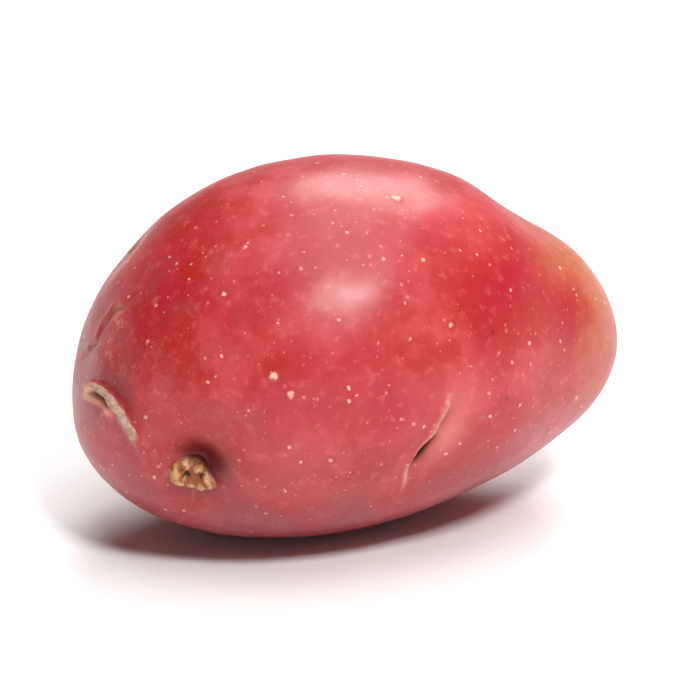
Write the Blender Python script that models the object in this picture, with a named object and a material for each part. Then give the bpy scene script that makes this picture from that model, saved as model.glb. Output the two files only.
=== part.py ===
"""A red-skinned potato, one solid, lying on a small flat spot.

Metres, +Z up. The length runs along X, with the blunt stem end at -X and the slimmer bud end at +X.
The origin is under the middle of the potato, on the surface that it rests on.

The body is an egg swept along a bent spine. Each eye is relief raised on it or sunk into it along
the outward direction, in its own local directions: "lengthwise" the way its brow runs, "across" at
right angles to that over the skin. A place on the skin is given by two numbers: how far along the
half-length it is, from -1 to 1, and how many degrees around, from 0 at the top through 90 at the
front (-Y) and 180 underneath.
"""

from collections import namedtuple

import bmesh
import bpy
import numpy as np

# Overall size of the potato as it lies
LENGTH = 0.084
WIDTH = 0.058
HEIGHT = 0.0552

# Body: the first three are shares of the girth, the others are lengths
TAPER = 0.135
END_SLIMMING = 0.015
NOSE_FULLNESS = 0.095
BUD_END_RISE = 0.0015
SPINE_ARCH = 0.0045
SPINE_BOW = 0.0018

# Waist: a shallow ring, deepest on top, that sets the bud end off
WAIST_ALONG = 0.68
WAIST_SPREAD = 0.19
WAIST_DEPTH = 0.0021

# Flat spot: how far the round underside would reach below it, and how soft its rim is
REST_SINK = 0.0009
REST_RIM = 0.0004

# Broad lumps (positive) and dents (negative) of the body: height in metres, spread in degrees
Lump = namedtuple("Lump", "along around height spread")
LUMPS = [
    Lump(along=0.28, around=108, height=0.0010, spread=12),
    Lump(along=-0.98, around=-20, height=-0.0012, spread=11),
    Lump(along=-0.93, around=0, height=-0.0004, spread=16),
    Lump(along=-0.88, around=130, height=0.0009, spread=15),
    Lump(along=0.96, around=65, height=0.0004, spread=16),
    Lump(along=0.88, around=125, height=0.0008, spread=18),
    Lump(along=0.85, around=10, height=-0.0004, spread=18),
    Lump(along=-0.50, around=20, height=0.0003, spread=22),
    Lump(along=0.18, around=188, height=0.0019, spread=18),
    Lump(along=-0.20, around=-75, height=0.0011, spread=26),
    Lump(along=0.40, around=-95, height=-0.0012, spread=22),
    Lump(along=0.80, around=-60, height=0.0007, spread=18),
    Lump(along=-0.70, around=-130, height=-0.0009, spread=20),
]

# Stem scar: a corky plug low in a round pit, blunt behind and narrow ahead
PIT_ALONG = -0.718
PIT_AROUND = 107
PIT_WIDTH = 0.0085
PIT_DEPTH = 0.0042
SCAR_RUNS = (0.72, -0.42, -0.55)
SCAR_LENGTH = 0.0066
SCAR_WIDTH = 0.0031
SCAR_NARROWING = 0.60
SCAR_HEIGHT = 0.0020
SCAR_AHEAD = 0.0009
SCAR_DROP = 0.0025
SCAR_SLANT = 0.18
SCAR_HOLLOW = 0.30

# Brow eye on the stem end: a crescent ridge that widens ahead, over a slit and a bud
BROW_EYE_ALONG = -0.946
BROW_EYE_AROUND = 83
BROW_EYE_RUNS = (0.254, -0.902, -0.354)
BROW_LENGTH = 0.0150
BROW_WIDTH = 0.0017
BROW_WIDENING = 0.6
BROW_HEIGHT = 0.0012
BROW_SAG = 0.0032
BROW_SLIT_RUN = -0.0025
BROW_SLIT_LENGTH = 0.0064
BROW_SLIT_WIDTH = 0.0009
BROW_SLIT_DEPTH = 0.0009
BROW_SLIT_DROP = 0.0009
BUD_RUN = 0.0003
BUD_DROP = 0.0015
BUD_WIDTH = 0.0020
BUD_HEIGHT = 0.0006

# Slit eye on the front: a thin bent lip in a long shallow valley, with a short deep cut beside it
SLIT_EYE_ALONG = 0.06
SLIT_EYE_AROUND = 105
SLIT_EYE_RUNS = (-0.45, 0.20, -0.87)
SLIT_LENGTH = 0.0175
SLIT_WIDTH = 0.0012
BEND_START = 0.0025
BEND_PER_METRE = 35
VALLEY_SIDE = 0.0008
VALLEY_WIDTH = 0.0065
VALLEY_DEPTH = 0.0010
LIP_SIDE = 0.0006
LIP_HEIGHT = 0.0005
CUT_RUN = 0.0020
CUT_SIDE = 0.0004
CUT_LENGTH = 0.0056
CUT_WIDTH = 0.0016
CUT_DEPTH = 0.0020

# Small eyes on the back, the underside and the bud end: a dimple under a short brow
SmallEye = namedtuple("SmallEye", "along around runs")
SMALL_EYES = [
    SmallEye(along=0.12, around=-62, runs=(0.25, 0.40, -0.88)),
    SmallEye(along=-0.42, around=-98, runs=(-0.20, 0.25, -0.95)),
    SmallEye(along=0.55, around=-118, runs=(0.10, -0.55, -0.83)),
    SmallEye(along=0.90, around=-72, runs=(-0.35, 0.55, -0.76)),
    SmallEye(along=0.93, around=150, runs=(0.30, 0.90, 0.30)),
    SmallEye(along=-0.72, around=-30, runs=(0.35, 0.85, -0.40)),
]
SMALL_EYE_WIDTH = 0.0075
SMALL_EYE_DEPTH = 0.0010
SMALL_BROW_LENGTH = 0.0068
SMALL_BROW_WIDTH = 0.0015
SMALL_BROW_HEIGHT = 0.0005
SMALL_BROW_SAG = 0.0009

# Mesh: how far from an eye's middle the triangles are split once, and split again
BALL_SUBDIVISIONS = 5
FINE_REACH = 0.0100
FINEST_REACH = 0.0082
SMALL_FINE_REACH = 0.0052

# Small step over the skin used to find the outward direction, in radians
PROBE = 0.002
# Points this far behind an eye's own tangent plane are on another side of the potato
SAME_SIDE = 0.012

SKIN_COLOUR = (0.53, 0.085, 0.080, 1.0)
SKIN_ROUGHNESS = 0.42


def clear_scene():
    """Remove every object that the file opened with."""
    for thing in list(bpy.data.objects):
        bpy.data.objects.remove(thing, do_unlink=True)


def unit(vectors):
    """The same directions with length one."""
    return vectors / np.linalg.norm(vectors, axis=-1, keepdims=True)


def way(along, around):
    """Direction out of the potato's middle that leads to a place on its skin."""
    swing = np.sqrt(1 - along**2)
    turn = np.radians(around)
    return np.array([along, -swing * np.sin(turn), swing * np.cos(turn)])


def swell(offset, width):
    """1 on a line or a point, falling smoothly to almost nothing a width away from it."""
    return np.exp(-((2 * offset / width) ** 2))


def stretch_of(offset, length):
    """Near 1 along most of a length, falling quickly to nothing past its ends."""
    return np.exp(-((2 * offset / length) ** 4))


def body(ways):
    """Point of the body in each direction: egg sections on a bent spine, a waist, lumps and dents."""
    half = np.array([LENGTH, WIDTH, HEIGHT]) / 2
    along = ways[:, 0]
    girth = 1 - TAPER * along - END_SLIMMING * along**2 + NOSE_FULLNESS * along**3
    bend = along**2 - 1 / 3
    spine_y = SPINE_BOW * bend
    spine_z = BUD_END_RISE * along - SPINE_ARCH * bend
    x = half[0] * along
    y = half[1] * girth * ways[:, 1] + spine_y
    z = half[2] * girth * ways[:, 2] + spine_z
    on_top = (1 + ways[:, 2]) / 2
    height = -WAIST_DEPTH * on_top * np.exp(-(((along - WAIST_ALONG) / WAIST_SPREAD) ** 2))
    for lump in LUMPS:
        closeness = ways @ way(lump.along, lump.around) - 1
        height = height + lump.height * np.exp(closeness / np.radians(lump.spread) ** 2)
    return np.column_stack([x, y, z]) + height[:, None] * unit(ways / half)


def outward(ways):
    """Direction straight out of the body's skin, from two short steps over it."""
    helper = np.where(np.abs(ways[:, :1]) < 0.6, [[1.0, 0.0, 0.0]], [[0.0, 0.0, 1.0]])
    first = unit(np.cross(helper, ways))
    second = np.cross(ways, first)
    here = body(ways)
    step_one = body(unit(ways + PROBE * first)) - here
    step_two = body(unit(ways + PROBE * second)) - here
    return unit(np.cross(step_one, step_two))


def eye_directions(along, around, runs):
    """Middle of an eye on the body, with its lengthwise, across and outward directions."""
    ways = way(along, around)[None, :]
    middle = body(ways)[0]
    out = outward(ways)[0]
    lengthwise = np.array(runs) - np.dot(runs, out) * out
    lengthwise = unit(lengthwise)
    return middle, lengthwise, np.cross(out, lengthwise), out


def over_eye(points, along, around, runs):
    """How far each point lies lengthwise and across from an eye's middle, far away if behind it."""
    middle, lengthwise, across, out = eye_directions(along, around, runs)
    offset = points - middle
    behind = offset @ out < -SAME_SIDE
    return np.where(behind, LENGTH, offset @ lengthwise), offset @ across


def stem_scar(points):
    """Round pit, and low in it a corky plug with a hollow middle, narrower ahead."""
    run, across = over_eye(points, PIT_ALONG, PIT_AROUND, SCAR_RUNS)
    pit = -PIT_DEPTH * swell(np.hypot(run, across), PIT_WIDTH)
    lengthways = 2 * (run - SCAR_AHEAD) / SCAR_LENGTH
    breadth = np.exp(-SCAR_NARROWING * lengthways)
    slanted = across + SCAR_DROP - SCAR_SLANT * (run - SCAR_AHEAD)
    sideways = 2 * slanted / (SCAR_WIDTH * breadth)
    oval = np.hypot(lengthways, sideways)
    plug = SCAR_HEIGHT * (np.exp(-(oval**4)) - SCAR_HOLLOW * np.exp(-((2 * oval) ** 2)))
    return pit + plug


def brow_eye(points):
    """Crescent ridge, the slit under it and the bud below the slit."""
    run, across = over_eye(points, BROW_EYE_ALONG, BROW_EYE_AROUND, BROW_EYE_RUNS)
    above = across - BROW_SAG * (1 - (2 * run / BROW_LENGTH) ** 2)
    width = BROW_WIDTH * np.exp(BROW_WIDENING * run / BROW_LENGTH)
    brow = BROW_HEIGHT * swell(above, width) * stretch_of(run, BROW_LENGTH)
    open_part = stretch_of(run - BROW_SLIT_RUN, BROW_SLIT_LENGTH)
    slit = -BROW_SLIT_DEPTH * swell(above + BROW_SLIT_DROP, BROW_SLIT_WIDTH) * open_part
    bud = BUD_HEIGHT * swell(np.hypot(run - BUD_RUN, above + BUD_DROP), BUD_WIDTH)
    return brow + slit + bud


def slit_eye(points):
    """Long shallow valley; in it a thin lip that bends away ahead, and a deep cut beside the lip."""
    run, across = over_eye(points, SLIT_EYE_ALONG, SLIT_EYE_AROUND, SLIT_EYE_RUNS)
    line = across - BEND_PER_METRE * np.clip(run - BEND_START, 0, SLIT_LENGTH) ** 2
    valley = -VALLEY_DEPTH * swell(across - VALLEY_SIDE, VALLEY_WIDTH)
    lip = LIP_HEIGHT * swell(line + LIP_SIDE, SLIT_WIDTH)
    cut = -CUT_DEPTH * swell(line - CUT_SIDE, CUT_WIDTH) * swell(run - CUT_RUN, CUT_LENGTH)
    return (valley + lip) * stretch_of(run, SLIT_LENGTH) + cut


def small_eye(points, eye):
    """Round dimple under a short crescent brow."""
    run, across = over_eye(points, eye.along, eye.around, eye.runs)
    dimple = -SMALL_EYE_DEPTH * swell(np.hypot(run, across), SMALL_EYE_WIDTH)
    crescent = SMALL_BROW_SAG * (1 - (2 * run / SMALL_BROW_LENGTH) ** 2)
    brow = SMALL_BROW_HEIGHT * swell(across - crescent, SMALL_BROW_WIDTH)
    return dimple + brow * stretch_of(run, SMALL_BROW_LENGTH)


def skin(ways):
    """Point of the finished skin in each direction: the body with every eye's relief on it."""
    points = body(ways)
    relief = stem_scar(points) + brow_eye(points) + slit_eye(points)
    for eye in SMALL_EYES:
        relief = relief + small_eye(points, eye)
    return points + relief[:, None] * outward(ways)


def fitted(points):
    """Stretch to the overall size, centre over the origin and sink the underside past the floor."""
    low = points.min(axis=0)
    high = points.max(axis=0)
    size = np.array([LENGTH, WIDTH, HEIGHT + REST_SINK])
    corner = np.array([-LENGTH / 2, -WIDTH / 2, -REST_SINK])
    return corner + (points - low) * size / (high - low)


def rested(points):
    """Lift what lies below the floor onto it, as a flat spot whose rim turns up smoothly."""
    height = points[:, 2]
    rim = (height + REST_RIM) ** 2 / (4 * REST_RIM)
    lifted = np.where(height < REST_RIM, rim, height)
    lifted = np.where(height < -REST_RIM, 0.0, lifted)
    return np.column_stack([points[:, 0], points[:, 1], lifted])


def directions(ball):
    """Direction of each of the ball's vertices from its centre, as one array."""
    return unit(np.array([vertex.co for vertex in ball.verts], dtype=float))


def put_vertices(ball, places):
    """Move the ball's vertices to the places given, in order."""
    for vertex, place in zip(ball.verts, places):
        vertex.co = place


def refine(ball, middles, reach):
    """Split the edges of a unit ball that lie within reach of an eye's middle on the body."""
    points = body(directions(ball))
    near = np.zeros(len(points), dtype=bool)
    for middle in middles:
        near |= np.linalg.norm(points - middle, axis=1) < reach
    ball.verts.index_update()
    chosen = [edge for edge in ball.edges if all(near[v.index] for v in edge.verts)]
    bmesh.ops.subdivide_edges(ball, edges=chosen, cuts=1)
    bmesh.ops.triangulate(ball, faces=ball.faces)
    put_vertices(ball, directions(ball))


def skin_material():
    """Smooth red potato skin."""
    material = bpy.data.materials.new("potato_skin")
    material.use_nodes = True
    shader = material.node_tree.nodes["Principled BSDF"]
    shader.inputs["Base Color"].default_value = SKIN_COLOUR
    shader.inputs["Roughness"].default_value = SKIN_ROUGHNESS
    shader.inputs["Metallic"].default_value = 0.0
    return material


def make_potato():
    """A unit ball, split finely at the eyes, with each vertex moved out to the skin."""
    main_places = [
        (PIT_ALONG, PIT_AROUND),
        (BROW_EYE_ALONG, BROW_EYE_AROUND),
        (SLIT_EYE_ALONG, SLIT_EYE_AROUND),
    ]
    small_places = [(eye.along, eye.around) for eye in SMALL_EYES]
    main_middles = body(np.array([way(*place) for place in main_places]))
    small_middles = body(np.array([way(*place) for place in small_places]))
    ball = bmesh.new()
    bmesh.ops.create_icosphere(ball, subdivisions=BALL_SUBDIVISIONS, radius=1.0)
    refine(ball, main_middles, FINE_REACH)
    refine(ball, main_middles, FINEST_REACH)
    refine(ball, small_middles, SMALL_FINE_REACH)
    put_vertices(ball, rested(fitted(skin(directions(ball)))))
    bmesh.ops.recalc_face_normals(ball, faces=ball.faces)
    mesh = bpy.data.meshes.new("potato")
    ball.to_mesh(mesh)
    ball.free()
    mesh.shade_smooth()
    mesh.materials.append(skin_material())
    potato = bpy.data.objects.new("potato", mesh)
    bpy.context.scene.collection.objects.link(potato)
    return potato


clear_scene()
make_potato()
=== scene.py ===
"""Looks of a red-skinned potato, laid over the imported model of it.

Metres, +Z up. The length runs along X, with the blunt stem end at -X and the slimmer bud end at +X.

The skin is one closed surface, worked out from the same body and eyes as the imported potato, with
the finer relief that a maker would carve last: uneven flesh, cork grains, open pores and cracks.
Each eye, scar and crack has its own local directions, "run" the way it runs and "across" at right
angles to that over the skin. Both are stored on the skin in metres, and the skin's finish reads
them to colour the cork, slits and buds. A place on the skin is given by two numbers: how far along
the half-length it is, from -1 to 1, and how many degrees around, from 0 at the top through 90 at
the front (-Y) and 180 underneath.
"""

from collections import namedtuple

import bpy
import numpy as np
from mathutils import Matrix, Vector


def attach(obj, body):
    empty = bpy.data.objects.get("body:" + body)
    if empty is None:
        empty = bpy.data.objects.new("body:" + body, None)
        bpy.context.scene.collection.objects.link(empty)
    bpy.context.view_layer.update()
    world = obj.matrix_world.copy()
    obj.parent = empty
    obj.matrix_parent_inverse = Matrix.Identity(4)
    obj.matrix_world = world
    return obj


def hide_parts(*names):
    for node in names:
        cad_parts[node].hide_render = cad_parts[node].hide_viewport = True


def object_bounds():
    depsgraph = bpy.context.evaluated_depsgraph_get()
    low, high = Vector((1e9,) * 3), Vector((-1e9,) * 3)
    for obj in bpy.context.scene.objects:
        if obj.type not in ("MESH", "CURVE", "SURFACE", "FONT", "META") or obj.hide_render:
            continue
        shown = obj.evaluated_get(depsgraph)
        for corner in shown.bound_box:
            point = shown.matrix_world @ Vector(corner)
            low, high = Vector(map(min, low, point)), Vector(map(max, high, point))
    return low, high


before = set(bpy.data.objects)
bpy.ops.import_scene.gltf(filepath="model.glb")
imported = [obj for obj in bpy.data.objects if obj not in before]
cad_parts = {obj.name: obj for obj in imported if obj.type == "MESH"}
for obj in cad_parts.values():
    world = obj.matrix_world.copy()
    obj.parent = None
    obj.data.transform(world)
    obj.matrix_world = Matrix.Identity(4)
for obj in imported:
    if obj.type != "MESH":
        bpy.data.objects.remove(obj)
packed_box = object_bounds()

MM = 0.001

# Overall size, as packed
LOW = np.array(packed_box[0])
HIGH = np.array(packed_box[1])
LENGTH, WIDTH, HEIGHT = HIGH - LOW

# Body: the first three are shares of the girth, the others are lengths
TAPER = 0.135
END_SLIMMING = 0.015
NOSE_FULLNESS = 0.095
BUD_END_RISE = 0.0015
SPINE_ARCH = 0.0045
SPINE_BOW = 0.0018

# Waist: a shallow ring, deepest on top, that sets the bud end off
WAIST_ALONG = 0.68
WAIST_SPREAD = 0.19
WAIST_DEPTH = 0.0021

# Flat spot: how far the round underside would reach below it, and how soft its rim is
REST_SINK = 0.0009
REST_RIM = 0.0004

# Broad lumps (positive) and dents (negative) of the body: height in metres, spread in degrees
Lump = namedtuple("Lump", "along around height spread")
LUMPS = [
    Lump(along=0.28, around=108, height=0.0010, spread=12),
    Lump(along=-0.98, around=-20, height=-0.0012, spread=11),
    Lump(along=-0.93, around=0, height=-0.0004, spread=16),
    Lump(along=-0.88, around=130, height=0.0009, spread=15),
    Lump(along=0.96, around=65, height=0.0004, spread=16),
    Lump(along=0.88, around=125, height=0.0008, spread=18),
    Lump(along=0.85, around=10, height=-0.0004, spread=18),
    Lump(along=-0.50, around=20, height=0.0003, spread=22),
    Lump(along=0.18, around=188, height=0.0019, spread=18),
    Lump(along=-0.20, around=-75, height=0.0011, spread=26),
    Lump(along=0.40, around=-95, height=-0.0012, spread=22),
    Lump(along=0.80, around=-60, height=0.0007, spread=18),
    Lump(along=-0.70, around=-130, height=-0.0009, spread=20),
]

# A mark on the skin: where its middle is, and the direction in which it runs
Mark = namedtuple("Mark", "along around runs")

# Stem scar: a corky plug low in a round pit, blunt behind and narrow ahead. Its rim's place and
# spread are shares of the way from the plug's middle to its edge
STEM_SCAR = Mark(along=-0.718, around=107, runs=(0.72, -0.42, -0.55))
PIT_WIDTH = 0.0085
PIT_DEPTH = 0.0042
SCAR_LENGTH = 0.0066
SCAR_WIDTH = 0.0031
SCAR_NARROWING = 0.60
SCAR_HEIGHT = 0.0020
SCAR_AHEAD = 0.0009
SCAR_DROP = 0.0025
SCAR_SLANT = 0.18
SCAR_RAGGEDNESS = 0.04
SCAR_LOBES = 5
SCAR_LOBE_TURN = 2.6
RIM_HEIGHT = 0.0004
RIM_PLACE = 0.78
RIM_SPREAD = 0.26
GRAIN_COUNT = 24
FINE_GRAIN = 0.0006
BROAD_GRAIN = 0.0014
GRAIN_HEIGHT = 0.00016
# Holes in the cork: where they are from the plug's middle, how wide and how deep, in millimetres
Hole = namedtuple("Hole", "run across width depth")
SCAR_HOLES = [
    Hole(run=-1.1, across=-0.2, width=1.2, depth=0.80),
    Hole(run=0.8, across=0.8, width=1.0, depth=0.80),
    Hole(run=-1.1, across=1.2, width=0.9, depth=0.60),
    Hole(run=-2.3, across=0.2, width=1.2, depth=0.45),
    Hole(run=2.2, across=0.6, width=0.8, depth=0.40),
]

# A small wave along a line: how high it is, how far it takes to turn one radian, where it starts
Ripple = namedtuple("Ripple", "height reach start")

# Brow eye on the stem end: a crescent ridge that widens ahead, over a slit and a bud
BROW_EYE = Mark(along=-0.946, around=83, runs=(0.254, -0.902, -0.354))
BROW_LENGTH = 0.0150
BROW_WIDTH = 0.0017
BROW_WIDENING = 0.6
BROW_HEIGHT = 0.0012
BROW_SAG = 0.0032
BROW_SLIT_RUN = -0.0025
BROW_SLIT_LENGTH = 0.0064
BROW_SLIT_WIDTH = 0.0009
BROW_SLIT_DEPTH = 0.0009
BROW_SLIT_DROP = 0.0009
BROW_FRAYS = [
    Ripple(height=0.00012, reach=0.00042, start=0),
    Ripple(height=0.00010, reach=0.00023, start=1),
]
BUD_RUN = 0.0003
BUD_DROP = 0.0015
BUD_WIDTH = 0.0020
BUD_HEIGHT = 0.0006

# Slit eye on the front: a thin bent lip in a long shallow valley, with a short deep cut beside it
SLIT_EYE = Mark(along=0.06, around=105, runs=(-0.45, 0.20, -0.87))
SLIT_LENGTH = 0.0175
SLIT_WIDTH = 0.0012
SLIT_RIPPLES = [
    Ripple(height=0.00035, reach=0.0021, start=0),
    Ripple(height=0.00012, reach=0.0007, start=0),
]
BEND_START = 0.0025
BEND_PER_METRE = 35
VALLEY_SIDE = 0.0008
VALLEY_WIDTH = 0.0065
VALLEY_DEPTH = 0.0010
LIP_SIDE = 0.0006
LIP_HEIGHT = 0.0005
CUT_RUN = 0.0020
CUT_SIDE = 0.0004
CUT_LENGTH = 0.0056
CUT_WIDTH = 0.0016
CUT_DEPTH = 0.0020
NOTCH_RUN = -0.0038
NOTCH_LENGTH = 0.0034
NOTCH_WIDTH = 0.0010
NOTCH_DEPTH = 0.0005

# Small eyes on the back, the underside and the bud end: a dimple under a short brow
SMALL_EYES = [
    Mark(along=0.12, around=-62, runs=(0.25, 0.40, -0.88)),
    Mark(along=-0.42, around=-98, runs=(-0.20, 0.25, -0.95)),
    Mark(along=0.55, around=-118, runs=(0.10, -0.55, -0.83)),
    Mark(along=0.90, around=-72, runs=(-0.35, 0.55, -0.76)),
    Mark(along=0.93, around=150, runs=(0.30, 0.90, 0.30)),
    Mark(along=-0.72, around=-30, runs=(0.35, 0.85, -0.40)),
]
SMALL_EYE_WIDTH = 0.0075
SMALL_EYE_DEPTH = 0.0010
SMALL_BROW_LENGTH = 0.0068
SMALL_BROW_WIDTH = 0.0015
SMALL_BROW_HEIGHT = 0.0005
SMALL_BROW_SAG = 0.0009

# Growth crack: a dry crease over the shoulder of the stem end
CRACK = Mark(along=-0.91, around=5, runs=(0.51, -0.51, 0.70))
CRACK_LENGTH = 0.0150
CRACK_WIDTH = 0.0011
CRACK_DEPTH = 0.0003
CRACK_RIPPLES = [
    Ripple(height=0.0006, reach=0.0017, start=0),
    Ripple(height=0.0003, reach=0.0006, start=2),
]
CRACK_EDGE = 0.5

# Large open pores: where they are, and how wide, in millimetres
Pore = namedtuple("Pore", "along around width")
PORES = [
    Pore(along=-0.476, around=73.5, width=1.4),
    Pore(along=-0.429, around=80, width=1.2),
    Pore(along=0.081, around=23, width=1.5),
    Pore(along=-0.815, around=45, width=1.0),
    Pore(along=-0.579, around=42, width=0.9),
    Pore(along=0.146, around=68, width=0.9),
    Pore(along=-0.30, around=104, width=1.0),
    Pore(along=0.30, around=-40, width=1.2),
    Pore(along=-0.15, around=-70, width=1.3),
    Pore(along=-0.60, around=-85, width=1.1),
    Pore(along=0.62, around=-90, width=1.0),
    Pore(along=0.35, around=-150, width=1.2),
    Pore(along=-0.45, around=-160, width=1.3),
    Pore(along=0.70, around=150, width=1.1),
]
PORE_HEIGHT = 0.00010
FARTHEST_PORE = 4.0
# Small dark specks, given in the same way
SPECKS = [
    Pore(along=0.311, around=72, width=0.8),
    Pore(along=0.353, around=95, width=0.7),
    Pore(along=-0.05, around=-50, width=0.8),
    Pore(along=0.48, around=-75, width=0.7),
]

# Uneven flesh: gentle waves all over, from fine to broad
WAVE_COUNT = 60
FINE_WAVE = 0.0045
BROAD_WAVE = 0.0160
WAVE_HEIGHT = 0.000066

# Skin mesh: squares along each side of the ball's cube, and how much they gather at the eyes
SKIN_CELLS = 127
GATHER = 0.45
GATHER_REACH = 0.40

# Small step over the skin used to find the outward direction, in radians
PROBE = 0.002
# Directions with a larger share of X than this take their first step across Z instead
NEAR_X = 0.6
# Points this far behind a mark's own tangent plane are on another side of the potato
SAME_SIDE = 0.012
SEED = 11


def unit(vectors):
    """The same directions with length one."""
    return vectors / np.linalg.norm(vectors, axis=-1, keepdims=True)


def way(along, around):
    """Direction out of the potato's middle that leads to a place on its skin."""
    swing = np.sqrt(1 - along**2)
    turn = np.radians(around)
    return np.array([along, -swing * np.sin(turn), swing * np.cos(turn)])


def swell(offset, width):
    """1 on a line or a point, falling smoothly to almost nothing a width away from it."""
    return np.exp(-((2 * offset / width) ** 2))


def stretch_of(offset, length):
    """Near 1 along most of a length, falling quickly to nothing past its ends."""
    return np.exp(-((2 * offset / length) ** 4))


def rippled(run, ripples):
    """Height of the ripples' sum at each place along a line."""
    return sum(ripple.height * np.sin(run / ripple.reach + ripple.start) for ripple in ripples)


def body(ways):
    """Point of the body in each direction: egg sections on a bent spine, waist, lumps and dents."""
    half = np.array([LENGTH, WIDTH, HEIGHT]) / 2
    along = ways[:, 0]
    girth = 1 - TAPER * along - END_SLIMMING * along**2 + NOSE_FULLNESS * along**3
    bend = along**2 - 1 / 3
    x = half[0] * along
    y = half[1] * girth * ways[:, 1] + SPINE_BOW * bend
    z = half[2] * girth * ways[:, 2] + BUD_END_RISE * along - SPINE_ARCH * bend
    on_top = (1 + ways[:, 2]) / 2
    height = -WAIST_DEPTH * on_top * np.exp(-(((along - WAIST_ALONG) / WAIST_SPREAD) ** 2))
    for lump in LUMPS:
        closeness = ways @ way(lump.along, lump.around) - 1
        height = height + lump.height * np.exp(closeness / np.radians(lump.spread) ** 2)
    return np.column_stack([x, y, z]) + height[:, None] * unit(ways / half)


def outward(ways):
    """Direction straight out of the body's skin, from two short steps over it."""
    helper = np.where(np.abs(ways[:, :1]) < NEAR_X, [[1.0, 0.0, 0.0]], [[0.0, 0.0, 1.0]])
    first = unit(np.cross(helper, ways))
    second = np.cross(ways, first)
    here = body(ways)
    step_one = body(unit(ways + PROBE * first)) - here
    step_two = body(unit(ways + PROBE * second)) - here
    return unit(np.cross(step_one, step_two))


def over_mark(points, mark):
    """Run and across of each point from a mark's middle; far along the run if it lies behind."""
    ways = way(mark.along, mark.around)[None, :]
    middle = body(ways)[0]
    out = outward(ways)[0]
    lengthwise = unit(np.array(mark.runs) - np.dot(mark.runs, out) * out)
    offset = points - middle
    run = offset @ lengthwise
    behind = offset @ out < -SAME_SIDE
    return np.where(behind, np.copysign(LENGTH, run), run), offset @ np.cross(out, lengthwise)


def waves(places, count, fine, broad, height, seed):
    """Uneven relief: sines in random directions, each as tall as its wavelength allows.

    The wavelengths run from fine to broad in equal ratios, and the sum is about height tall.
    """
    draw = np.random.default_rng(seed)
    lengths = np.geomspace(fine, broad, count)
    turns = unit(draw.normal(size=(count, places.shape[1]))) * (2 * np.pi / lengths)[:, None]
    starts = draw.uniform(0, 2 * np.pi, count)
    heights = height * (lengths / broad) * np.sqrt(2 / count)
    return np.sin(places @ turns.T + starts) @ heights


def scar_oval(run, across):
    """0 in the middle of the cork plug and 1 on its edge: an oval that narrows towards +run."""
    lengthways = 2 * (run - SCAR_AHEAD) / SCAR_LENGTH
    breadth = np.exp(-SCAR_NARROWING * lengthways)
    slanted = across + SCAR_DROP - SCAR_SLANT * (run - SCAR_AHEAD)
    sideways = 2 * slanted / (SCAR_WIDTH * breadth)
    turn = np.arctan2(sideways, lengthways)
    ragged = SCAR_RAGGEDNESS * np.sin(SCAR_LOBES * turn + SCAR_LOBE_TURN)
    return np.hypot(lengthways, sideways) * (1 + ragged)


def cork_height(run, across):
    """Height of the plug's cork above the plain plug: a raised rim, a rough hollow, round holes."""
    oval = scar_oval(run, across)
    rim = np.exp(-(((oval - RIM_PLACE) / RIM_SPREAD) ** 2))
    places = np.column_stack([run, across])
    grain = waves(places, GRAIN_COUNT, FINE_GRAIN, BROAD_GRAIN, GRAIN_HEIGHT, SEED)
    rough = grain + RIM_HEIGHT * (rim - 0.5)
    for hole in SCAR_HOLES:
        reach = np.hypot(run - SCAR_AHEAD - hole.run * MM, across + SCAR_DROP - hole.across * MM)
        rough = rough - hole.depth * MM * swell(reach, hole.width * MM)
    return rough


def stem_scar(run, across):
    """Pit PIT_DEPTH deep, and in it the plug SCAR_HEIGHT tall with its cork relief on top."""
    pit = -PIT_DEPTH * swell(np.hypot(run, across), PIT_WIDTH)
    plug = np.exp(-(scar_oval(run, across) ** 6))
    return pit + plug * (SCAR_HEIGHT + cork_height(run, across))


def from_crescent(run, across, length, sag):
    """Distance above a crescent line that is sag high in its middle and meets 0 at its ends."""
    return across - sag * (1 - (2 * run / length) ** 2)


def brow_eye(run, across):
    """Crescent ridge with a frayed top, the slit under its upper half and the bud below that."""
    above = from_crescent(run, across, BROW_LENGTH, BROW_SAG)
    frayed = above + rippled(run, BROW_FRAYS)
    width = BROW_WIDTH * np.exp(BROW_WIDENING * run / BROW_LENGTH)
    brow = BROW_HEIGHT * swell(frayed, width) * stretch_of(run, BROW_LENGTH)
    open_part = stretch_of(run - BROW_SLIT_RUN, BROW_SLIT_LENGTH)
    slit = -BROW_SLIT_DEPTH * swell(above + BROW_SLIT_DROP, BROW_SLIT_WIDTH) * open_part
    bud = BUD_HEIGHT * swell(np.hypot(run - BUD_RUN, above + BUD_DROP), BUD_WIDTH)
    return brow + slit + bud


def slit_line(run, across):
    """Distance across from the slit eye's line, which ripples and bends away past BEND_START."""
    bend = BEND_PER_METRE * np.clip(run - BEND_START, 0, SLIT_LENGTH) ** 2
    return across + rippled(run, SLIT_RIPPLES) - bend


def slit_eye(run, across):
    """Shallow valley; in it a thin lip, with a short deep cut and a notch beside the lip."""
    line = slit_line(run, across)
    valley = -VALLEY_DEPTH * swell(across - VALLEY_SIDE, VALLEY_WIDTH)
    lip = LIP_HEIGHT * swell(line + LIP_SIDE, SLIT_WIDTH)
    cut = -CUT_DEPTH * swell(line - CUT_SIDE, CUT_WIDTH) * swell(run - CUT_RUN, CUT_LENGTH)
    notch_part = stretch_of(run - NOTCH_RUN, NOTCH_LENGTH)
    notch = -NOTCH_DEPTH * swell(line - CUT_SIDE, NOTCH_WIDTH) * notch_part
    return (valley + lip) * stretch_of(run, SLIT_LENGTH) + cut + notch


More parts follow.
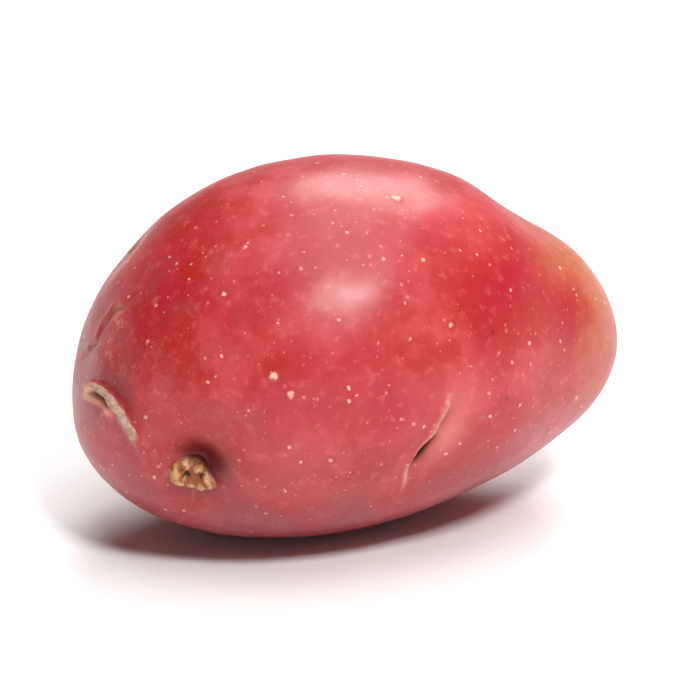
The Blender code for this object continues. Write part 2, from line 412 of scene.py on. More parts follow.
def small_eye(run, across):
    """Round dimple under a short crescent brow."""
    dimple = -SMALL_EYE_DEPTH * swell(np.hypot(run, across), SMALL_EYE_WIDTH)
    above = from_crescent(run, across, SMALL_BROW_LENGTH, SMALL_BROW_SAG)
    brow = SMALL_BROW_HEIGHT * swell(above, SMALL_BROW_WIDTH)
    return dimple + brow * stretch_of(run, SMALL_BROW_LENGTH)


def crack_line(run, across):
    """Distance across from the wandering line of the growth crack."""
    return across - rippled(run, CRACK_RIPPLES)


def growth_crack(run, across):
    """Groove along the crack's line, with one edge standing slightly proud."""
    line = crack_line(run, across)
    groove = -CRACK_DEPTH * swell(line, CRACK_WIDTH)
    edge = CRACK_EDGE * CRACK_DEPTH * swell(line - CRACK_WIDTH, CRACK_WIDTH)
    return (groove + edge) * stretch_of(run, CRACK_LENGTH)


def nearest_pore(points, pores):
    """Distance to the nearest pore over its half-width, and FARTHEST_PORE at most."""
    middles = body(np.array([way(pore.along, pore.around) for pore in pores]))
    widths = np.array([pore.width * MM for pore in pores])
    away = np.linalg.norm(points[:, None, :] - middles[None], axis=2) / (widths / 2)
    return np.minimum(away.min(axis=1), FARTHEST_PORE)


def fitted(points):
    """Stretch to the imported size, with the underside sunk past the floor."""
    low = points.min(axis=0)
    high = points.max(axis=0)
    sink = np.array([0.0, 0.0, REST_SINK])
    return LOW - sink + (points - low) * (HIGH - LOW + sink) / (high - low)


def rested(points):
    """Lift what lies below the floor onto it, as a flat spot whose rim turns up smoothly."""
    height = points[:, 2]
    rim = (height + REST_RIM) ** 2 / (4 * REST_RIM)
    lifted = np.where(height < REST_RIM, rim, height)
    lifted = np.where(height < -REST_RIM, 0.0, lifted)
    return np.column_stack([points[:, 0], points[:, 1], lifted])


def ball_grid(cells):
    """Directions all over a ball, and the four-cornered faces between them.

    Each side of a cube is a grid of turns u and v from -45 to 45 degrees. Its points are
    out + tan(u) * first + tan(v) * second, brought to length one, and shared edges are merged.
    """
    steps = np.tan(np.linspace(-np.pi / 4, np.pi / 4, cells + 1))
    u, v = np.meshgrid(steps, steps, indexing="ij")
    numbers = np.arange(u.size).reshape(u.shape)
    rings = [numbers[:-1, :-1], numbers[1:, :-1], numbers[1:, 1:], numbers[:-1, 1:]]
    squares = np.stack(rings, axis=-1).reshape(-1, 4)
    axes = np.eye(3)
    sides = []
    for axis in range(3):
        first = axes[(axis + 1) % 3]
        for sign in (1, -1):
            second = sign * axes[(axis + 2) % 3]
            side = sign * axes[axis] + u[..., None] * first + v[..., None] * second
            sides.append(unit(side.reshape(-1, 3)))
    ways = np.concatenate(sides)
    faces = np.concatenate([squares + number * u.size for number in range(len(sides))])
    key = np.round(ways, 6) + 0.0
    _, kept, shared = np.unique(key, axis=0, return_index=True, return_inverse=True)
    return ways[kept], shared.reshape(-1)[faces]


def gathered(ways):
    """Directions drawn towards the three main eyes, so that the squares there are smaller.

    way + sum of GATHER * exp(-(distance / GATHER_REACH)^2) * (eye - way), brought to length one.
    """
    drawn = ways.copy()
    for mark in (STEM_SCAR, BROW_EYE, SLIT_EYE):
        towards = way(mark.along, mark.around) - ways
        distance = np.linalg.norm(towards, axis=1, keepdims=True)
        drawn = drawn + GATHER * np.exp(-((distance / GATHER_REACH) ** 2)) * towards
    return unit(drawn)


def skin_shape(ways):
    """Point of the finished skin in each direction, and the measures its finish reads."""
    points = body(ways)
    scar_run, scar_across = over_mark(points, STEM_SCAR)
    brow_run, brow_across = over_mark(points, BROW_EYE)
    slit_run, slit_across = over_mark(points, SLIT_EYE)
    crack_run, crack_across = over_mark(points, CRACK)
    pores = nearest_pore(points, PORES)
    relief = (
        stem_scar(scar_run, scar_across)
        + brow_eye(brow_run, brow_across)
        + slit_eye(slit_run, slit_across)
        + growth_crack(crack_run, crack_across)
        + PORE_HEIGHT * swell(pores, 2)
        + waves(points, WAVE_COUNT, FINE_WAVE, BROAD_WAVE, WAVE_HEIGHT, SEED)
    )
    small_above = np.full(len(points), LENGTH)
    small_near = np.full(len(points), LENGTH)
    for mark in SMALL_EYES:
        run, across = over_mark(points, mark)
        relief = relief + small_eye(run, across)
        near = np.hypot(run, across)
        above = from_crescent(run, across, SMALL_BROW_LENGTH, SMALL_BROW_SAG)
        small_above = np.where(near < small_near, above, small_above)
        small_near = np.minimum(near, small_near)
    brow_above = from_crescent(brow_run, brow_across, BROW_LENGTH, BROW_SAG)
    scar_cork = cork_height(scar_run, scar_across)
    measures = {
        "stem_scar": (scar_run, scar_across, scar_oval(scar_run, scar_across)),
        "brow_eye": (brow_run, brow_across, brow_above),
        "slit_eye": (slit_run, slit_across, slit_line(slit_run, slit_across)),
        "growth_crack": (crack_run, crack_across, crack_line(crack_run, crack_across)),
        "small_eye": (small_above, small_near, np.zeros(len(points))),
        "pores": (pores, nearest_pore(points, SPECKS), scar_cork / MM),
    }
    return points + relief[:, None] * outward(ways), measures


def make_skin():
    """The whole potato as one closed surface, with its measures stored on it."""
    ways, faces = ball_grid(SKIN_CELLS)
    points, measures = skin_shape(gathered(ways))
    places = rested(fitted(points))
    mesh = bpy.data.meshes.new("potato_skin")
    mesh.from_pydata(places, [], faces)
    mesh.shade_smooth()
    for name, parts in measures.items():
        attribute = mesh.attributes.new(name, "FLOAT_VECTOR", "POINT")
        attribute.data.foreach_set("vector", np.column_stack(parts).astype(np.float32).ravel())
    potato = bpy.data.objects.new("potato_skin", mesh)
    bpy.context.scene.collection.objects.link(potato)
    return potato


# Skin colours, as red, green and blue shares of the light given back
RASPBERRY = (0.410, 0.011, 0.019)
ROSE = (0.520, 0.050, 0.052)
BRICK = (0.405, 0.014, 0.009)
# Dusty rose: the stem end's own bloom, and painted shade with floor reflection on the underside
DUSTY_ROSE_AND_SHADE = (0.290, 0.056, 0.056)
APRICOT = (0.440, 0.072, 0.017)
TAN_BLUSH = (0.520, 0.220, 0.100)
# Deep red painted shade, in the stem scar's pit and along the top of the brow eye's ridge
PAINTED_DEEP_SHADE = (0.130, 0.006, 0.008)
# Dark red: the skin's own mottling, and painted shade in the small eyes' dimples
DARK_MOTTLE_AND_SHADE = (0.300, 0.018, 0.016)
PORE_CREAM = (0.900, 0.520, 0.360)
# Pale pink: pores, flecks, net and bud, and a painted highlight beside the slit eye's valley
PALE_PINK_AND_HIGHLIGHT = (0.840, 0.280, 0.230)
PORE_RING = (0.300, 0.014, 0.016)
SPECK_RED = (0.140, 0.006, 0.008)
CORK_PALE = (0.600, 0.340, 0.150)
# Cork brown: the cork's own brown, laid where the cork lies low as painted shade
CORK_BROWN_AND_SHADE = (0.290, 0.080, 0.022)
# Near-black painted shadow in the cork's holes
CORK_HOLE_SHADOW = (0.060, 0.018, 0.010)
BROW_GREY = (0.350, 0.210, 0.150)
BROW_PALE = (0.560, 0.380, 0.280)
BROW_DARK = (0.130, 0.040, 0.020)
BUD_TAN = (0.700, 0.270, 0.110)
LIP_TAN = (0.720, 0.340, 0.230)
# Near-black painted shadow in the slit eye's deep cut
SLIT_CUT_SHADOW = (0.030, 0.004, 0.003)
CRACK_BROWN = (0.280, 0.080, 0.035)
RUSSET = (0.680, 0.330, 0.200)

# A random pattern: how far apart its lumps are, how fine it goes, and which one of many it is
Pattern = namedtuple(
    "Pattern", "size detail roughness offset distortion", defaults=(2.0, 0.5, 0.0, 0.0)
)
CLOUDS = Pattern(size=0.015, detail=3.0)
PATCHES = Pattern(size=0.0065, detail=3.0, offset=3.0)
STREAKS = Pattern(size=0.0075, detail=4.0, offset=11.0)
# Patches of painted shade on the underside
UNDERSIDE_SHADE_PATCHES = Pattern(size=0.009, detail=4.0, offset=7.0)
BLOOM = Pattern(size=0.005, detail=4.0, offset=9.0)
MOTTLE = Pattern(size=0.0016, detail=4.0, roughness=0.6, offset=1.0)
PORE_RIMS = Pattern(size=0.0006, detail=3.0, offset=6.5)
NET = Pattern(size=0.0018, offset=5.5, distortion=1.2)
NET_GAPS = Pattern(size=0.0024, detail=4.0, offset=5.0)
GROOVE_GAPS = Pattern(size=0.0022, offset=6.0)
CORK_GRAIN = Pattern(size=0.0008, detail=4.0)
FIBRES = Pattern(size=0.0006, detail=3.0, offset=2.0)
LIP_WEAR = Pattern(size=0.0016, detail=3.0, offset=3.5)
GLOSS_STREAKS = Pattern(size=0.0040, detail=4.0, offset=4.0)
SOFT_BUMPS = Pattern(size=0.0030, detail=3.0, offset=8.0)
LEATHER = Pattern(size=0.0007, detail=3.0, roughness=0.6, offset=2.5)
DRY_GRAIN = Pattern(size=0.0004, detail=3.0, offset=1.5)

# In all that follows, a pair is where something starts to show and where it shows in full, and a
# share is how strongly it covers what is under it.

# Flesh: levels of the patterns, and how far the patterns push the edges along X, in metres
ROSE_LEVELS = (0.38, 0.62)
BRICK_LEVELS = (0.46, 0.62)
BRICK_SHARE = 0.80
PATCH_PUSH = 0.016
CLOUD_PUSH = 0.022

# Apricot blush of the bud end, along X and up Z, and the tan on top of it
BLUSH_ALONG = (0.0200, 0.0420)
BLUSH_UP = (-0.004, 0.026)
BLUSH_MOST = 0.9
STREAK_GAIN = 1.1
STREAK_BASE = 0.12
TAN_UP = (0.020, 0.040)
TAN_LEVELS = (0.35, 0.60)
TAN_SHARE = 0.6

# Painted shade and floor reflection on the underside, up Z, and the dusty bloom of the stem end
# along X
UNDERSIDE_SHADE_UP = (0.026, 0.006)
UNDERSIDE_SHADE_LEVELS = (0.32, 0.58)
UNDERSIDE_SHADE_SHARE = 0.75
STEM_END_ALONG = (-0.0120, -0.0360)
BLOOM_LEVELS = (0.45, 0.70)
BLOOM_SHARE = 0.45

# Mottling and flecks
DARK_LEVELS = (0.52, 0.30)
DARK_SHARE = 0.24
PALE_LEVELS = (0.52, 0.75)
PALE_SHARE = 0.20
FLECK_PITCH = 0.0011
FLECK_PICKS = (0.70, 0.75)
FLECK_RADII = (0.00024, 0.00008)
FLECK_SHARE = 0.6

# Small pores; reaches are in pore radii from the pore's middle
PORE_PITCH = 0.0020
PORE_WOBBLE = 0.0009
PORE_PUSH = 0.00030
PORE_RADIUS = 0.00017
PORE_RADIUS_SPREAD = 0.00018
PORE_REACH = (1.25, 0.55)
PORE_TONES = (0.45, 1.0)
PORE_FAINTEST = 0.20
PORE_STRENGTH_SPREAD = 0.55
RING_REACH = (2.4, 1.2)
RING_PICKS = (0.45, 0.75)
RING_SHARE = 0.22

# Large open pores and dark specks; reaches are in half-widths from the middle
OPEN_PORE_REACH = (1.1, 0.3)
OPEN_PORE_SHARE = 0.85
OPEN_PORE_RAGGEDNESS = 1.6
RIM_REACH = 1.4
RIM_BREADTH = 1.0
RIM_SHARE = 0.30
SPECK_REACH = (1.2, 0.5)
SPECK_SHARE = 0.9

# Growth crack, the russet scuffs beside it and the net over the stem end
CRACK_ENDS = (0.0085, 0.0055)
SCUFF_SIDE = -0.0030
SCUFF_WIDTH = 0.0110
SCUFF_SHARE = 0.55
NET_LEVELS = (0.080, 0.000)
NET_GAP_LEVELS = (0.50, 0.62)
NET_SHARE = 0.09
GROOVE_WIDTH = 0.0008
GROOVE_GAP_LEVELS = (0.35, 0.50)
GROOVE_SHARE = 0.9

# Stem scar: painted shade in the pit around the plug, and the cork's levels in millimetres of
# height
PIT_SHADE_RUN = 0.0010
PIT_SHADE_ACROSS = 0.0006
PIT_SHADE_REACH = (0.0066, 0.0014)
PIT_SHADE_SHARE = 0.92
CORK_ROUGHNESS = 1.1
CORK_PALE_LEVELS = (-0.30, 0.24)
CORK_HOLE_LEVELS = (-0.48, -0.75)
PLUG_EDGE = (1.14, 1.00)

# Brow eye
BROW_ENDS = (0.0072, 0.0060)
# Painted shade along the upper side of the ridge
BROW_SHADE_RISE = 0.0018
BROW_SHADE_WIDTH = 0.0046
BROW_SHADE_LENGTH = 0.0120
BROW_SHADE_SHARE = 0.60
BROW_TAN_RUN = -0.0045
BROW_TAN_LENGTH = 0.0066
BROW_TAN_DROP = 0.0014
BROW_TAN_WIDTH = 0.0026
BROW_TAN_LEVELS = (0.10, 0.55)
BUD_PAINT_LENGTH = 0.0022
BUD_PAINT_WIDTH = 0.0018
BUD_SHARE = 0.80
FIBRE_LEVELS = (0.35, 0.70)
BROW_TIP = (-0.0030, -0.0062)
BROW_TIP_SHARE = 0.7
RIDGE_RISE = 0.00010
RIDGE_EDGE = (0.92, 0.62)
RIDGE_SHARE = 0.95
BROW_SLIT_LEVELS = (0.15, 0.60)

# Slit eye
SLIT_ENDS = (0.0100, 0.0060)
# Painted highlight on the bulge beside the valley
VALLEY_HIGHLIGHT_SIDE = 0.0022
VALLEY_HIGHLIGHT_WIDTH = 0.0050
VALLEY_HIGHLIGHT_RUN = -0.0020
VALLEY_HIGHLIGHT_LENGTH = 0.0110
VALLEY_HIGHLIGHT_SHARE = 0.45
LIP_LEVELS = (0.30, 0.60)
LIP_PAINT_SIDE = 0.0005
LIP_PAINT_WIDTH = 0.0010
LIP_SHARE = 0.80
LIP_DRYNESS = 0.6
CUT_PAINT_WIDTH = 0.0014
CUT_BROWN_LEVELS = (0.05, 0.30)
CUT_BROWN_SHARE = 0.7
# Painted shadow in the deep cut
CUT_SHADOW_LEVELS = (0.22, 0.52)
NOTCH_PAINT_WIDTH = 0.0008
NOTCH_SHARE = 0.7

# Small eyes; reaches are distances from the eye's middle
# Painted shade in each dimple
DIMPLE_REACH = (0.0046, 0.0012)
DIMPLE_SHARE = 0.55
SMALL_BROW_PAINT = 0.0010
SMALL_BROW_REACH = (0.0036, 0.0024)
SMALL_BROW_SHARE = 0.80
SMALL_SLIT_DROP = 0.0009
SMALL_SLIT_WIDTH = 0.0009
SMALL_SLIT_REACH = (0.0024, 0.0012)
SMALL_SLIT_SHARE = 0.85

# Gloss of the skin and of its dry marks
SKIN_ROUGHNESS = 0.47
ROUGHNESS_SPREAD = 0.22
SKIN_GLOSS = 0.38
WAX_COAT = 0.27
WAX_ROUGHNESS = 0.27
DRY_ROUGHNESS = 0.85
CRACK_DRYNESS = 0.8
PORE_DRYNESS = 0.5

# Heights of the finest relief, in metres
SOFT_BUMP_HEIGHT = 0.000060
LEATHER_HEIGHT = 0.000030
PORE_BUMP_HEIGHT = 0.000040
CRACK_BUMP_HEIGHT = 0.000050
DRY_GRAIN_HEIGHT = 0.00020

# A Mix node has a set of sockets for each kind of value; these are the ones for colours
MIX_FIRST = 6
MIX_SECOND = 7
MIX_RESULT = 2


class Finish:
    """One material's recipe. Each method adds a node and returns the socket with its result."""

    def __init__(self, name):
        """Start from a plain shader, with the coordinates of the piece at hand."""
        self.material = bpy.data.materials.new(name)
        self.material.use_nodes = True
        self.tree = self.material.node_tree
        self.shader = self.tree.nodes["Principled BSDF"]
        self.place = self.add("TexCoord").outputs["Object"]

    def add(self, kind):
        """A new node of this kind."""
        return self.tree.nodes.new("ShaderNode" + kind)

    def feed(self, socket, value):
        """Give a socket a number, a colour or another node's result."""
        if isinstance(value, bpy.types.NodeSocket):
            self.tree.links.new(value, socket)
        elif isinstance(value, tuple) and len(value) == 3:
            socket.default_value = (*value, 1.0)
        else:
            socket.default_value = value

    def sum(self, operation, *values):
        """Arithmetic on one, two or three values."""
        node = self.add("Math")
        node.operation = operation
        for socket, value in zip(node.inputs, values):
            self.feed(socket, value)
        return node.outputs[0]

    def plus(self, first, second):
        """first + second."""
        return self.sum("ADD", first, second)

    def times(self, first, second):
        """first * second."""
        return self.sum("MULTIPLY", first, second)

    def pushed(self, value, reach):
        """A value from 0 to 1, turned into a push of up to half the reach either way."""
        return self.times(self.plus(value, -0.5), reach)

    def ramp(self, value, limits):
        """0 at the first limit and 1 at the second, smooth between; the first may be larger."""
        start, end = limits
        node = self.add("MapRange")
        node.interpolation_type = "SMOOTHSTEP"
        self.feed(node.inputs["Value"], value)
        node.inputs["From Min"].default_value = start
        node.inputs["From Max"].default_value = end
        return node.outputs["Result"]

    def swell(self, value, width):
        """1 where value is 0, falling smoothly to almost nothing a width away."""
        scaled = self.times(value, 2 / width)
        return self.sum("EXPONENT", self.times(self.times(scaled, scaled), -1.0))

    def swell_at(self, value, middle, width):
        """1 where value is middle, falling smoothly to almost nothing a width away."""
        return self.swell(self.plus(value, -middle), width)

    def blend(self, share, first, second):
        """first where share is 0 and second where it is 1."""
        node = self.add("Mix")
        node.data_type = "RGBA"
        self.feed(node.inputs[0], share)
        self.feed(node.inputs[MIX_FIRST], first)
        self.feed(node.inputs[MIX_SECOND], second)
        return node.outputs[MIX_RESULT]

    def lay(self, colour, paint, cover, share):
        """Paint laid over a colour, where cover is above 0 and as strongly as the share."""
        return self.blend(self.times(cover, share), colour, paint)

    def parts(self, vector):
        """The three parts of a vector."""
        node = self.add("SeparateXYZ")
        self.feed(node.inputs[0], vector)
        return node.outputs[0], node.outputs[1], node.outputs[2]

    def measure(self, name):
        """The three parts of a measure stored on the piece."""
        node = self.add("Attribute")
        node.attribute_name = name
        return self.parts(node.outputs["Vector"])

    def noise(self, pattern):
        """Soft random cloud from 0 to 1, its lumps about the pattern's size apart."""
        node = self.add("TexNoise")
        node.noise_dimensions = "4D"
        self.feed(node.inputs["Vector"], self.place)
        node.inputs["W"].default_value = pattern.offset
        node.inputs["Scale"].default_value = 1 / pattern.size
        node.inputs["Detail"].default_value = pattern.detail
        node.inputs["Roughness"].default_value = pattern.roughness
        node.inputs["Distortion"].default_value = pattern.distortion
        return node.outputs[0]

    def wobbled(self, size, reach):
        """The piece's coordinates pushed about at random, so that dots aren't round."""
        node = self.add("TexNoise")
        self.feed(node.inputs["Vector"], self.place)
        node.inputs["Scale"].default_value = 1 / size
        push = self.add("VectorMath")
        push.operation = "MULTIPLY_ADD"
        self.feed(push.inputs[0], node.outputs["Color"])
        push.inputs[1].default_value = (2 * reach, 2 * reach, 2 * reach)
        self.feed(push.inputs[2], self.place)
        return push.outputs["Vector"]

    def cells(self, pitch, place=None):
        """Distance in metres to the nearest of many scattered points, and three random values."""
        node = self.add("TexVoronoi")
        self.feed(node.inputs["Vector"], place or self.place)
        node.inputs["Scale"].default_value = 1 / pitch
        distance = self.times(node.outputs["Distance"], pitch)
        return distance, self.parts(node.outputs["Color"])


def paint_flesh(skin):
    """Reds of the skin: raspberry, rose and brick clouds, blushed bud end, dusty stem end, and
    painted shade with a painted reflection of the floor on the underside.

    Returns the share of the stem end too.
    """
    along, _, up = skin.parts(skin.place)
    cloud = skin.noise(CLOUDS)
    patch = skin.noise(PATCHES)
    colour = skin.blend(skin.ramp(cloud, ROSE_LEVELS), RASPBERRY, ROSE)
    colour = skin.lay(colour, BRICK, skin.ramp(patch, BRICK_LEVELS), BRICK_SHARE)

    ragged = skin.plus(along, skin.pushed(patch, PATCH_PUSH))
    uneven = skin.plus(ragged, skin.pushed(cloud, CLOUD_PUSH))
    blush = skin.times(skin.ramp(uneven, BLUSH_ALONG), skin.ramp(up, BLUSH_UP))
    streak = skin.plus(skin.times(skin.noise(STREAKS), STREAK_GAIN), STREAK_BASE)
    colour = skin.lay(colour, APRICOT, blush, skin.sum("MINIMUM", streak, BLUSH_MOST))
    on_top = skin.times(blush, skin.ramp(up, TAN_UP))
    tan_side = skin.times(on_top, skin.ramp(cloud, TAN_LEVELS))
    colour = skin.lay(colour, TAN_BLUSH, tan_side, TAN_SHARE)

    # Painted shade with a painted reflection of the floor: darker, greyer rose towards the bottom
    underside_shade = skin.times(skin.ramp(up, UNDERSIDE_SHADE_UP), skin.ramp(skin.noise(UNDERSIDE_SHADE_PATCHES), UNDERSIDE_SHADE_LEVELS))
    colour = skin.lay(colour, DUSTY_ROSE_AND_SHADE, underside_shade, UNDERSIDE_SHADE_SHARE)
    stem_end = skin.ramp(ragged, STEM_END_ALONG)
    bloom = skin.times(stem_end, skin.ramp(skin.noise(BLOOM), BLOOM_LEVELS))
    return skin.lay(colour, DUSTY_ROSE_AND_SHADE, bloom, BLOOM_SHARE), stem_end


def paint_texture(skin, colour):
    """Fine mottling: small changes of lightness, and faint pale flecks."""
    mottle = skin.noise(MOTTLE)
    colour = skin.lay(colour, DARK_MOTTLE_AND_SHADE, skin.ramp(mottle, DARK_LEVELS), DARK_SHARE)
    colour = skin.lay(colour, PALE_PINK_AND_HIGHLIGHT, skin.ramp(mottle, PALE_LEVELS), PALE_SHARE)
    distance, (pick, strength, _) = skin.cells(FLECK_PITCH)
    chosen = skin.times(skin.ramp(pick, FLECK_PICKS), strength)
    fleck = skin.times(skin.ramp(distance, FLECK_RADII), chosen)
    return skin.lay(colour, PALE_PINK_AND_HIGHLIGHT, fleck, FLECK_SHARE)


def paint_pores(skin, colour):
    """Small raised pores: cream or pink dots, some in a darker ring. Returns their share too."""
    place = skin.wobbled(PORE_WOBBLE, PORE_PUSH)
    distance, (pick, tone, ringed) = skin.cells(PORE_PITCH, place)
    radius = skin.plus(skin.times(pick, PORE_RADIUS_SPREAD), PORE_RADIUS)
    reach = skin.sum("DIVIDE", distance, radius)
    dot = skin.ramp(reach, PORE_REACH)
    ring = skin.times(skin.ramp(reach, RING_REACH), skin.ramp(ringed, RING_PICKS))
    colour = skin.lay(colour, PORE_RING, ring, RING_SHARE)
    paint = skin.blend(skin.ramp(tone, PORE_TONES), PALE_PINK_AND_HIGHLIGHT, PORE_CREAM)
    strength = skin.plus(skin.times(tone, PORE_STRENGTH_SPREAD), PORE_FAINTEST)
    colour = skin.lay(colour, paint, dot, strength)

    large, speck, _ = skin.measure("pores")
    large = skin.plus(large, skin.pushed(skin.noise(PORE_RIMS), OPEN_PORE_RAGGEDNESS))
    rim = skin.swell_at(large, RIM_REACH, RIM_BREADTH)
    colour = skin.lay(colour, PORE_RING, rim, RIM_SHARE)
    open_pore = skin.ramp(large, OPEN_PORE_REACH)
    colour = skin.lay(colour, PORE_CREAM, open_pore, OPEN_PORE_SHARE)
    colour = skin.lay(colour, SPECK_RED, skin.ramp(speck, SPECK_REACH), SPECK_SHARE)
    return colour, skin.plus(skin.times(dot, strength), open_pore)


def paint_crack(skin, colour, stem_end):
    """Brown growth crack, russet scuffs beside it, and a faint net over the stem end.

    Returns the share of the crack and its scuffs too.
    """
    run, across, line = skin.measure("growth_crack")
    inside = skin.ramp(skin.sum("ABSOLUTE", run), CRACK_ENDS)
    crease = skin.sum("ABSOLUTE", skin.plus(skin.noise(NET), -0.5))
    broken = skin.ramp(skin.noise(NET_GAPS), NET_GAP_LEVELS)
    net = skin.times(skin.ramp(crease, NET_LEVELS), broken)
    colour = skin.lay(colour, PALE_PINK_AND_HIGHLIGHT, net, skin.times(stem_end, NET_SHARE))
    beside = skin.times(skin.swell_at(across, SCUFF_SIDE, SCUFF_WIDTH), inside)
    scuff = skin.times(net, beside)
    colour = skin.lay(colour, RUSSET, scuff, SCUFF_SHARE)
    groove = skin.times(skin.swell(line, GROOVE_WIDTH), inside)
    groove = skin.times(groove, skin.ramp(skin.noise(GROOVE_GAPS), GROOVE_GAP_LEVELS))
    colour = skin.lay(colour, CRACK_BROWN, groove, GROOVE_SHARE)
    return colour, skin.sum("MAXIMUM", scuff, groove)


def paint_stem_scar(skin, colour):
    """Painted shade in the pit, and the cork plug: pale on its rim, brown in its hollow, dark in
    its holes;
    the hollow's brown is partly and the holes' dark wholly painted shade.

    Returns the plug's share too.
    """
    run, across, oval = skin.measure("stem_scar")
    _, _, cork = skin.measure("pores")
    # Painted shade in the pit, strongest up and ahead of the plug, over skin somewhat darker there
    beside = skin.plus(run, -PIT_SHADE_RUN)
    above = skin.plus(across, -PIT_SHADE_ACROSS)
    away = skin.sum("SQRT", skin.plus(skin.times(beside, beside), skin.times(above, above)))
    colour = skin.lay(colour, PAINTED_DEEP_SHADE, skin.ramp(away, PIT_SHADE_REACH), PIT_SHADE_SHARE)
    # The cork's colour follows its height: pale up on the rim, brown in the hollow, near-black in
    # the holes; the brown is partly and the near-black wholly painted shade
    rough = skin.plus(cork, skin.pushed(skin.noise(CORK_GRAIN), CORK_ROUGHNESS))
    plug_colour = skin.blend(skin.ramp(rough, CORK_PALE_LEVELS), CORK_BROWN_AND_SHADE, CORK_PALE)
    plug_colour = skin.blend(skin.ramp(rough, CORK_HOLE_LEVELS), plug_colour, CORK_HOLE_SHADOW)
    plug = skin.ramp(oval, PLUG_EDGE)
    return skin.blend(plug, colour, plug_colour), plug


def paint_brow_eye(skin, colour):
    """Grey-tan fibrous brow, painted shade above it, and a dark slit and a tan bud under it.

    Returns the ridge's share too.
    """
    run, _, above = skin.measure("brow_eye")
    whole = skin.ramp(skin.sum("ABSOLUTE", run), BROW_ENDS)
    # Painted shade along the upper side of the ridge
    shade_run = skin.swell(run, BROW_SHADE_LENGTH)
    shade = skin.times(skin.swell_at(above, BROW_SHADE_RISE, BROW_SHADE_WIDTH), shade_run)
    colour = skin.lay(colour, PAINTED_DEEP_SHADE, shade, BROW_SHADE_SHARE)
    tan_run = skin.swell_at(run, BROW_TAN_RUN, BROW_TAN_LENGTH)
    tan = skin.times(skin.swell_at(above, -BROW_TAN_DROP, BROW_TAN_WIDTH), tan_run)
    colour = skin.blend(skin.ramp(tan, BROW_TAN_LEVELS), colour, BUD_TAN)
    bud_run = skin.swell_at(run, BUD_RUN, BUD_PAINT_LENGTH)
    bud = skin.times(skin.swell_at(above, -BUD_DROP, BUD_PAINT_WIDTH), bud_run)
    colour = skin.lay(colour, PALE_PINK_AND_HIGHLIGHT, bud, BUD_SHARE)

    grey = skin.blend(skin.ramp(skin.noise(FIBRES), FIBRE_LEVELS), BROW_GREY, BROW_PALE)
    grey = skin.lay(grey, BUD_TAN, skin.ramp(run, BROW_TIP), BROW_TIP_SHARE)
    widening = skin.sum("EXPONENT", skin.times(run, BROW_WIDENING / BROW_LENGTH))
    half_width = skin.times(widening, BROW_WIDTH / 2)
    rise = skin.sum("ABSOLUTE", skin.plus(above, -RIDGE_RISE))
    off_ridge = skin.sum("DIVIDE", rise, half_width)
    ridge = skin.times(skin.ramp(off_ridge, RIDGE_EDGE), whole)
    colour = skin.lay(colour, grey, ridge, RIDGE_SHARE)
    slit_run = skin.swell_at(run, BROW_SLIT_RUN, BROW_SLIT_LENGTH)
    slit = skin.times(skin.swell_at(above, -BROW_SLIT_DROP, BROW_SLIT_WIDTH), slit_run)
    return skin.blend(skin.ramp(slit, BROW_SLIT_LEVELS), colour, BROW_DARK), ridge


def paint_slit_eye(skin, colour):
    """Painted highlight by the valley, a tan lip down its middle, and painted shadow in the cut
    beside the lip.

    Returns the share of the dry lip and cut too.
    """
    run, across, line = skin.measure("slit_eye")
    whole = skin.ramp(skin.sum("ABSOLUTE", run), SLIT_ENDS)
    # Painted highlight on the bulge beside the valley
    highlight_run = skin.swell_at(run, VALLEY_HIGHLIGHT_RUN, VALLEY_HIGHLIGHT_LENGTH)
    highlight = skin.times(skin.swell_at(across, VALLEY_HIGHLIGHT_SIDE, VALLEY_HIGHLIGHT_WIDTH), highlight_run)
    colour = skin.lay(colour, PALE_PINK_AND_HIGHLIGHT, highlight, VALLEY_HIGHLIGHT_SHARE)
    worn = skin.ramp(skin.noise(LIP_WEAR), LIP_LEVELS)
    lip_line = skin.swell_at(line, -LIP_PAINT_SIDE, LIP_PAINT_WIDTH)
    lip = skin.times(lip_line, skin.times(whole, worn))
    colour = skin.lay(colour, LIP_TAN, lip, LIP_SHARE)
    cut_run = skin.swell_at(run, CUT_RUN, CUT_LENGTH)
    cut = skin.times(skin.swell_at(line, CUT_SIDE, CUT_PAINT_WIDTH), cut_run)
    cut_edge = skin.ramp(cut, CUT_BROWN_LEVELS)
    colour = skin.lay(colour, CRACK_BROWN, cut_edge, CUT_BROWN_SHARE)
    # Painted shadow in the deep cut
    colour = skin.blend(skin.ramp(cut, CUT_SHADOW_LEVELS), colour, SLIT_CUT_SHADOW)
    notch_run = skin.swell_at(run, NOTCH_RUN, NOTCH_LENGTH)
    notch = skin.times(skin.swell_at(line, CUT_SIDE, NOTCH_PAINT_WIDTH), notch_run)
    dry = skin.sum("MAXIMUM", skin.times(lip, LIP_DRYNESS), cut_edge)
    return skin.lay(colour, CRACK_BROWN, notch, NOTCH_SHARE), dry


def paint_small_eyes(skin, colour):
    """Painted shade in each dimple, and a grey-tan line along each short brow, whose share returns.
    """
    above, away, _ = skin.measure("small_eye")
    # Painted shade in each dimple
    colour = skin.lay(colour, DARK_MOTTLE_AND_SHADE, skin.ramp(away, DIMPLE_REACH), DIMPLE_SHARE)
    brow = skin.times(skin.swell(above, SMALL_BROW_PAINT), skin.ramp(away, SMALL_BROW_REACH))
    colour = skin.lay(colour, BROW_GREY, brow, SMALL_BROW_SHARE)
    slit_line_share = skin.swell_at(above, -SMALL_SLIT_DROP, SMALL_SLIT_WIDTH)
    slit = skin.times(slit_line_share, skin.ramp(away, SMALL_SLIT_REACH))
    return skin.lay(colour, BROW_DARK, slit, SMALL_SLIT_SHARE), brow


def largest(skin, *shares):
    """The largest of several shares at each place."""
    result = shares[0]
    for share in shares[1:]:
        result = skin.sum("MAXIMUM", result, share)
    return result


